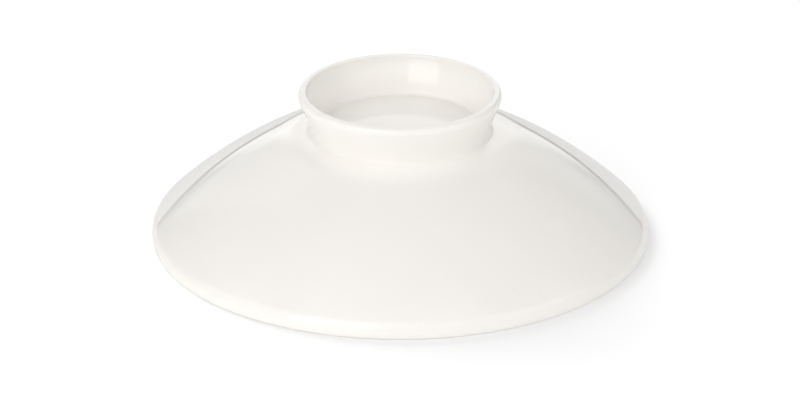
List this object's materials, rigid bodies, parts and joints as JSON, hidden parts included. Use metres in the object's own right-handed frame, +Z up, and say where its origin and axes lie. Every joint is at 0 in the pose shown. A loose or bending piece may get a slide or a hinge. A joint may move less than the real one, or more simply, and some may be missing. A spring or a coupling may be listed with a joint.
{
  "type": "bowl lid",
  "caption": "Shallow domed porcelain lid with a rounded rim and an open flared ring on its crown as the handle; covers a bowl or pot.",
  "frame": {"origin": "centre of the plane that the lid's rim rests on", "axes": "+Z up along the axis of revolution, from the rim towards the ring; X and Y lie in the rim's plane and are interchangeable"},
  "size_m": [0.13, 0.13, 0.0404],
  "materials": {
    "shell_glaze": "clear gloss glaze over warm white porcelain",
    "ring_glaze": "clear gloss glaze over warm white porcelain"
  },
  "bodies": {
    "root": {"lid_shell": "shell_glaze", "ring_handle": "ring_glaze"}
  },
  "joints": []
}
